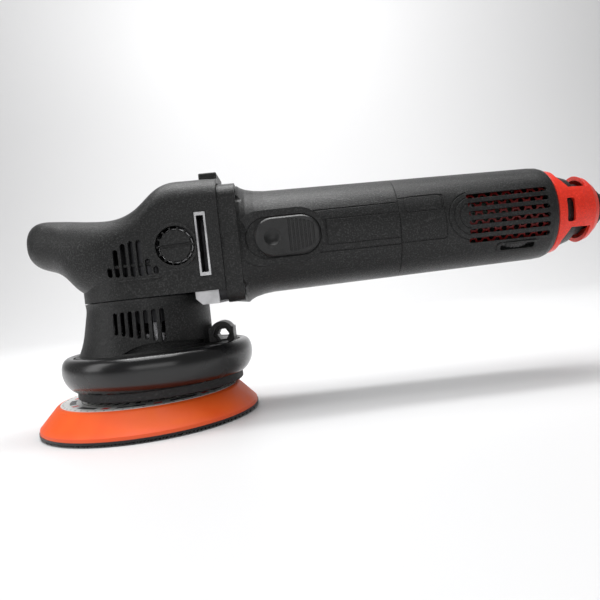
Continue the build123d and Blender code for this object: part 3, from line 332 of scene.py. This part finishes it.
def board_laminate(name):
    """Green circuit board under lacquer with a darker copper pattern."""
    finish = Finish(name)
    tracks = finish.span(finish.cells(260, "DISTANCE_TO_EDGE"), 0.02, 0.08, 1, 0)
    tone = finish.blend(tracks, (0.003, 0.028, 0.014), (0.012, 0.07, 0.03))
    finish.bump(tracks, 0.05 * MM, 0.6)
    return finish.done(tone, finish.span(finish.noise(200, 2, 0.5), 0.3, 0.7, 0.22, 0.36))


BLACK = (0.0050, 0.0052, 0.0052)
BLACK_WORN = (0.0085, 0.0088, 0.0088)
FINISHES = {
    "cover_black": moulded_plastic("cover_black", BLACK, BLACK_WORN, 0.6 * MM, 0.06 * MM,
                                   (0.34, 0.46), 0.5 * MM),
    "motor_black": moulded_plastic("motor_black", BLACK, BLACK_WORN, 0.6 * MM, 0.05 * MM,
                                   (0.36, 0.48)),
    "shroud_black": moulded_plastic("shroud_black", BLACK, (0.0090, 0.0092, 0.0092), 0.6 * MM,
                                    0.06 * MM, (0.34, 0.46)),
    "switch_black": moulded_plastic("switch_black", (0.009, 0.009, 0.0095), BLACK_WORN, 0.25 * MM,
                                    0.015 * MM, (0.26, 0.36)),
    "lip_grey": moulded_plastic("lip_grey", (0.009, 0.009, 0.0095), (0.014, 0.014, 0.0145),
                                0.5 * MM, 0.03 * MM, (0.5, 0.7)),
    "part_grey": moulded_plastic("part_grey", (0.09, 0.09, 0.1), (0.14, 0.14, 0.15)),
    "fan_black": moulded_plastic("fan_black", (0.03, 0.03, 0.03), (0.05, 0.05, 0.05)),
    "dial_dark": moulded_plastic("dial_dark", (0.03, 0.03, 0.032), (0.06, 0.06, 0.06), 0.3 * MM,
                                 0.02 * MM),
    "screen_red": moulded_plastic("screen_red", (0.13, 0.003, 0.003), (0.18, 0.006, 0.005),
                                  0.3 * MM, 0.02 * MM, (0.3, 0.45), 0.15 * MM),
    "cap_red": moulded_plastic("cap_red", (0.74, 0.026, 0.011), (0.80, 0.038, 0.016), 0.5 * MM,
                               0.03 * MM, (0.28, 0.42), 0.5 * MM),
    "bumper_black": soft_rubber("bumper_black", (0.004, 0.004, 0.0044), (0.02, 0.02, 0.02),
                                (0.2, 0.3), 0.2),
    "gland_black": soft_rubber("gland_black", (0.012, 0.012, 0.012), (0.04, 0.04, 0.04),
                               (0.45, 0.6)),
    "pad_orange": foam_rubber("pad_orange"),
    "hook_black": hook_pile("hook_black"),
    "label_white": printed_film("label_white", (0.86, 0.86, 0.84), (0.6, 0.6, 0.58)),
    # The last colour is the painted shade of the gearbox casting inside the covers
    "cast_aluminium": cast_metal("cast_aluminium", (0.54, 0.54, 0.55), (0.36, 0.36, 0.37),
                                 (0.32, 0.5), 1.0, 0.7 * MM, (0.045, 0.045, 0.048)),
    "retainer_dark": cast_metal("retainer_dark", (0.05, 0.05, 0.055), (0.03, 0.03, 0.03),
                                (0.5, 0.7), 0.6),
    "weight_iron": cast_metal("weight_iron", (0.16, 0.16, 0.165), (0.09, 0.085, 0.08), (0.5, 0.7),
                              0.9, 0.7 * MM),
    "screw_steel": turned_steel("screw_steel", (0.22, 0.22, 0.23), (0.13, 0.13, 0.135), "Z",
                                (0.3, 0.45)),
    "bearing_steel": turned_steel("bearing_steel", (0.72, 0.72, 0.73), (0.58, 0.58, 0.6), "Z",
                                  (0.08, 0.2)),
    "spindle_steel": turned_steel("spindle_steel", (0.42, 0.42, 0.43), (0.28, 0.28, 0.29), "Z"),
    "gear_steel": turned_steel("gear_steel", (0.45, 0.45, 0.46), (0.3, 0.3, 0.31), "Z",
                               (0.25, 0.4)),
    "core_steel": turned_steel("core_steel", (0.35, 0.35, 0.36), (0.22, 0.2, 0.19), "X",
                               (0.35, 0.6)),
    "copper": wound_copper("copper"),
    "brush_brass": turned_steel("brush_brass", (0.78, 0.55, 0.22), (0.55, 0.36, 0.13), "Y"),
    "carbon": cast_metal("carbon", (0.02, 0.02, 0.02), (0.035, 0.035, 0.035), (0.6, 0.8), 0.0,
                         0.3 * MM),
    "board_green": board_laminate("board_green"),
}
SLOT_OF = {entry["node"]: entry["material_slot"] for entry in frame["record"]["subparts"]}
for node_name, node in frame["nodes"].items():
    material = FINISHES[SLOT_OF[node_name]]
    if not node.material_slots:
        node.data.materials.append(material)
    for material_slot in node.material_slots:
        material_slot.material = material


# ---------------------------------------------------------------- repeated pieces
def new_tree(name, sizes):
    """An empty geometry tree with a float input for each named size."""
    tree = bpy.data.node_groups.new(name, "GeometryNodeTree")
    tree.interface.new_socket(name="Geometry", in_out="INPUT", socket_type="NodeSocketGeometry")
    for size in sizes:
        tree.interface.new_socket(name=size, in_out="INPUT", socket_type="NodeSocketFloat")
    tree.interface.new_socket(name="Geometry", in_out="OUTPUT", socket_type="NodeSocketGeometry")
    return tree, tree.nodes.new("NodeGroupInput").outputs, tree.nodes.new("NodeGroupOutput").inputs


def step(tree, kind, inputs=None, **settings):
    """Adds one geometry node, links its inputs or sets their values, and returns its outputs."""
    node = tree.nodes.new(kind)
    for key, value in settings.items():
        setattr(node, key, value)
    for key, value in (inputs or {}).items():
        socket = node.inputs[key]
        if isinstance(value, bpy.types.NodeSocket):
            tree.links.new(value, socket)
        else:
            socket.default_value = value
    return node.outputs


def grown(name, tree, sizes):
    """Runs a tree on an empty mesh and returns the result as a plain mesh object."""
    mesh = bpy.data.meshes.new(name + "_base")
    carrier = bpy.data.objects.new(name + "_carrier", mesh)
    bpy.context.scene.collection.objects.link(carrier)
    modifier = carrier.modifiers.new("grow", "NODES")
    modifier.node_group = tree
    sockets = {item.name: item.identifier for item in tree.interface.items_tree
               if item.in_out == "INPUT"}
    for size, value in sizes.items():
        modifier[sockets[size]] = value
    bpy.context.view_layer.update()
    depsgraph = bpy.context.evaluated_depsgraph_get()
    result = bpy.data.meshes.new_from_object(carrier.evaluated_get(depsgraph))
    carrier.modifiers.remove(modifier)
    bpy.data.objects.remove(carrier)
    piece = bpy.data.objects.new(name, result)
    bpy.context.scene.collection.objects.link(piece)
    return piece


def finish_piece(piece, body, slot_name, *replaced):
    """Says what a new piece rides on and which node it stands for; the slot name is not used."""
    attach(piece, body)
    if replaced:
        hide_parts(*replaced)


def mesh_object(name, vertices, faces, material):
    """A smooth mesh object at the origin with one material."""
    mesh = bpy.data.meshes.new(name)
    mesh.from_pydata([tuple(v) for v in vertices], [], faces)
    mesh.materials.append(material)
    mesh.validate()
    mesh.shade_smooth()
    piece = bpy.data.objects.new(name, mesh)
    bpy.context.scene.collection.objects.link(piece)
    return piece


def shift(tree, first, second, operation="ADD"):
    """One arithmetic step on two fields or numbers inside a geometry tree."""
    return step(tree, "ShaderNodeMath", {0: first, 1: second}, operation=operation)[0]


def vector(tree, x=0.0, y=0.0, z=0.0):
    """A vector field from three fields or numbers."""
    return step(tree, "ShaderNodeCombineXYZ", {0: x, 1: y, 2: z})[0]


def join(tree, *parts):
    """One geometry from several, joined in the order given."""
    node = tree.nodes.new("GeometryNodeJoinGeometry")
    for part in parts:
        tree.links.new(part, node.inputs[0])
    return node.outputs[0]


def moved(tree, geometry, x, z):
    """A geometry moved along X and Z."""
    return step(tree, "GeometryNodeTransform",
                {"Geometry": geometry, "Translation": vector(tree, x, 0.0, z)})[0]


def end_tree(tree, outputs, instances, material):
    """Realizes the instances, sets the material and joins the result to the tree's end."""
    real = step(tree, "GeometryNodeRealizeInstances", {0: instances})[0]
    painted = step(tree, "GeometryNodeSetMaterial",
                   {"Geometry": real, "Material": material})[0]
    tree.links.new(painted, outputs[0])


def round_array(tree, count, shape, phase, centre_x, height):
    """Copies of a shape turned evenly round the upright axis through a centre."""
    start = vector(tree, centre_x, 0.0, height)
    whole = step(tree, "FunctionNodeFloatToInt", {0: count})[0]
    points = step(tree, "GeometryNodeMeshLine",
                  {"Count": whole, "Start Location": start, "Offset": (0, 0, 0)})[0]
    index = step(tree, "GeometryNodeInputIndex")[0]
    turn = shift(tree, shift(tree, index, phase), 2 * math.pi, "MULTIPLY")
    turn = shift(tree, turn, count, "DIVIDE")
    return step(tree, "GeometryNodeInstanceOnPoints",
                {"Points": points, "Instance": shape, "Rotation": vector(tree, 0.0, 0.0, turn)})[0]


def arc_plate(tree, inner, outer, spread, thickness, segments):
    """A thin plate between two radii over an angle, in the middle of its place on the ring."""
    grid = step(tree, "GeometryNodeMeshGrid",
                {"Size X": 1.0, "Size Y": 1.0, "Vertices X": 2, "Vertices Y": segments + 1})[0]
    place = step(tree, "ShaderNodeSeparateXYZ", {0: step(tree, "GeometryNodeInputPosition")[0]})
    share = shift(tree, place[0], 0.5)
    width = shift(tree, outer, inner, "SUBTRACT")
    radius = shift(tree, inner, shift(tree, share, width, "MULTIPLY"))
    angle = shift(tree, place[1], spread, "MULTIPLY")
    bent = vector(tree, shift(tree, radius, shift(tree, angle, 0.0, "COSINE"), "MULTIPLY"),
                  shift(tree, radius, shift(tree, angle, 0.0, "SINE"), "MULTIPLY"))
    curved = step(tree, "GeometryNodeSetPosition", {"Geometry": grid, "Position": bent})[0]
    return step(tree, "GeometryNodeExtrudeMesh",
                {"Mesh": curved, "Offset": (0, 0, 1), "Offset Scale": thickness,
                 "Individual": False})[0]


LABEL_TOP = 14.95 * MM
PRINT_THICKNESS = 0.03 * MM
LONG_ARC = 0.5  # an arc beyond this angle takes the fine segments
FINE_SEGMENTS = 24
COARSE_SEGMENTS = 3
# Name, slot, count, phase in steps, inner and outer radius in mm, spread in radians
LABEL_ROWS = (
    ("label_fields", "dial_dark", 10, 0.5, 42.2, 45.6, 0.34),
    ("label_red_fields", "cap_red", 10, 0.0, 42.2, 45.6, 0.10),
    ("label_bars", "dial_dark", 36, 0.25, 32.0, 37.0, 0.07),
    ("label_ring", "dial_dark", 4, 0.5, 38.9, 39.3, 1.50),
    ("label_ticks", "dial_dark", 60, 0.5, 48.6, 49.6, 0.02),
)


def add_label_print():
    """Plain printed marks on the pad's label: dark fields, short bars, red fields and rings."""
    for name, slot_name, count, phase, inner, outer, spread in LABEL_ROWS:
        sizes = {
            "Count": count, "Phase": phase, "Inner radius": inner * MM, "Outer radius": outer * MM,
            "Spread": spread, "Thickness": PRINT_THICKNESS, "Centre": PAD_AXIS_X,
            "Height": LABEL_TOP,
        }
        tree, given, outputs = new_tree(name, sizes)
        plate = arc_plate(tree, given["Inner radius"], given["Outer radius"], given["Spread"],
                          given["Thickness"],
                          FINE_SEGMENTS if spread > LONG_ARC else COARSE_SEGMENTS)
        copies = round_array(tree, given["Count"], plate, given["Phase"], given["Centre"],
                             given["Height"])
        end_tree(tree, outputs, copies, FINISHES[slot_name])
        finish_piece(grown(name, tree, sizes), "pad", slot_name)


HOOK_ROWS = 72
HOOK_WANDER = 0.2 * MM
HOOK_SEED = 7
STEM_SIDES = 5
HEAD_SIDES = 6
RING_SIDES = 128
HOOK_SIZES = {
    "Pitch": 1.75 * MM, "Stem radius": 0.14 * MM, "Stem height": 0.75 * MM,
    "Head radius": 0.36 * MM, "Head height": 0.25 * MM, "Outer radius": 62.4 * MM,
    "Hole radius": 6.4 * MM, "Backing": 1.2 * MM, "Top": 2.2 * MM, "Centre": PAD_AXIS_X,
}


def hook_places(tree, given):
    """Points of a square grid, kept between the hole and the rim and moved a little."""
    span = shift(tree, given["Pitch"], float(HOOK_ROWS - 1), "MULTIPLY")
    grid = step(tree, "GeometryNodeMeshGrid",
                {"Size X": span, "Size Y": span, "Vertices X": HOOK_ROWS,
                 "Vertices Y": HOOK_ROWS})[0]
    points = step(tree, "GeometryNodeMeshToPoints", {"Mesh": grid})[0]
    length = step(tree, "ShaderNodeVectorMath",
                  {0: step(tree, "GeometryNodeInputPosition")[0]}, operation="LENGTH")["Value"]
    rim = shift(tree, given["Outer radius"], given["Head radius"], "SUBTRACT")
    beyond = shift(tree, length, rim, "GREATER_THAN")
    inner_rim = shift(tree, given["Hole radius"], given["Head radius"])
    within = shift(tree, length, inner_rim, "LESS_THAN")
    kept = step(tree, "GeometryNodeDeleteGeometry",
                {"Geometry": points, "Selection": shift(tree, beyond, within)},
                domain="POINT")[0]
    wander = step(tree, "FunctionNodeRandomValue",
                  {"Min": (-HOOK_WANDER, -HOOK_WANDER, 0.0), "Max": (HOOK_WANDER, HOOK_WANDER, 0.0),
                   "Seed": HOOK_SEED}, data_type="FLOAT_VECTOR")[0]
    return step(tree, "GeometryNodeSetPosition", {"Geometry": kept, "Offset": wander})[0]


def hook_shape(tree, given):
    """One stem with a cone head, hanging below the origin."""
    stem = step(tree, "GeometryNodeMeshCylinder",
                {"Vertices": STEM_SIDES, "Radius": given["Stem radius"],
                 "Depth": given["Stem height"]}, fill_type="NONE")["Mesh"]
    stem = moved(tree, stem, 0.0, shift(tree, given["Stem height"], -0.5, "MULTIPLY"))
    head = step(tree, "GeometryNodeMeshCone",
                {"Vertices": HEAD_SIDES, "Radius Top": given["Head radius"],
                 "Radius Bottom": given["Stem radius"], "Depth": given["Head height"]})["Mesh"]
    reach = shift(tree, given["Stem height"], given["Head height"])
    head = moved(tree, head, 0.0, shift(tree, 0.0, reach, "SUBTRACT"))
    return join(tree, stem, head)


def hook_backing(tree, given):
    """The woven backing as a flat ring, closed below."""
    circles = [step(tree, "GeometryNodeCurvePrimitiveCircle",
                    {"Resolution": RING_SIDES, "Radius": given[size]})[0]
               for size in ("Outer radius", "Hole radius")]
    disc = step(tree, "GeometryNodeFillCurve", {0: join(tree, *circles)})[0]
    thick = step(tree, "GeometryNodeExtrudeMesh",
                 {"Mesh": disc, "Offset": (0, 0, 1), "Offset Scale": given["Backing"],
                  "Individual": False})[0]
    return join(tree, thick, step(tree, "GeometryNodeFlipFaces", {"Mesh": disc})[0])


def add_hook_face():
    """The hook layer as a woven backing with rows of small mushroom hooks below it."""
    tree, given, outputs = new_tree("hook_face", HOOK_SIZES)
    under = shift(tree, given["Top"], given["Backing"], "SUBTRACT")
    hooks = step(tree, "GeometryNodeInstanceOnPoints",
                 {"Points": hook_places(tree, given), "Instance": hook_shape(tree, given)})[0]
    both = join(tree, moved(tree, hooks, given["Centre"], under),
                moved(tree, hook_backing(tree, given), given["Centre"], under))
    end_tree(tree, outputs, both, FINISHES["hook_black"])
    finish_piece(grown("hook_face", tree, HOOK_SIZES), "pad", "hook_black", "hook_layer")


add_label_print()
add_hook_face()


# ---------------------------------------------------------------- stage
FLOOR_FRONT = -2.5
FLOOR_BACK = 0.9
FLOOR_HALF_WIDTH = 4.0
FLOOR_GAP = 0.0004  # the floor lies this far below the pad's hooks
SWEEP_RADIUS = 1.1
SWEEP_STEPS = 24
WALL_TOP = 3.2
WORLD_STRENGTH = 0.22
TOOL_MIDDLE = (0.08, 0, 0.08)
# Name, place, target, width and height in metres, watts
LIGHTS = (
    ("top_light", (-0.05, 0.0, 0.95), TOOL_MIDDLE, (0.9, 0.7), 8.6),
    ("left_strip", (-0.9, -0.35, 0.5), TOOL_MIDDLE, (0.4, 0.8), 2.4),
    ("sweep_light", (0.1, 0.3, 1.7), (0.1, 1.9, 0.8), (1.6, 0.8), 38),
    ("front_card", (0.1, -1.1, 0.25), TOOL_MIDDLE, (1.0, 0.3), 1.6),
)


def add_floor():
    """A plain pale floor that sweeps up behind the tool."""
    finish = Finish("pale_floor")
    rubbed = finish.span(finish.noise(3, 2, 0.5), 0.3, 0.7, 0.42, 0.5)
    material = finish.done((0.76, 0.76, 0.765), rubbed)
    profile = [(FLOOR_FRONT, 0.0), (FLOOR_BACK, 0.0)]
    for index in range(1, SWEEP_STEPS + 1):
        turn = math.radians(90 * index / SWEEP_STEPS)
        profile.append((FLOOR_BACK + SWEEP_RADIUS * math.sin(turn),
                        SWEEP_RADIUS - SWEEP_RADIUS * math.cos(turn)))
    profile.append((FLOOR_BACK + SWEEP_RADIUS, WALL_TOP))
    vertices = [(side, y, z - FLOOR_GAP) for y, z in profile
                for side in (-FLOOR_HALF_WIDTH, FLOOR_HALF_WIDTH)]
    faces = [(2 * i, 2 * i + 1, 2 * i + 3, 2 * i + 2) for i in range(len(profile) - 1)]
    floor = mesh_object("floor", vertices, faces, material)


def add_light(name, place, target, size, watts):
    """A white rectangular area light aimed at a target."""
    data = bpy.data.lights.new(name, "AREA")
    data.shape = "RECTANGLE"
    data.size, data.size_y = size
    data.energy = watts
    light = bpy.data.objects.new(name, data)
    light.location = place
    aim = Vector(target) - Vector(place)
    light.rotation_euler = aim.to_track_quat("-Z", "Y").to_euler()
    bpy.context.scene.collection.objects.link(light)


def add_lights():
    """A soft surround, a broad top light, a light on the sweep and two weak side lights."""
    world = bpy.data.worlds.new("surround")
    world.use_nodes = True
    background = world.node_tree.nodes["Background"]
    background.inputs["Color"].default_value = (1, 1, 1, 1)
    background.inputs["Strength"].default_value = WORLD_STRENGTH
    bpy.context.scene.world = world
    for light in LIGHTS:
        add_light(*light)


add_floor()
add_lights()
bpy.context.scene.view_settings.view_transform = "Standard"
bpy.context.view_layer.update()
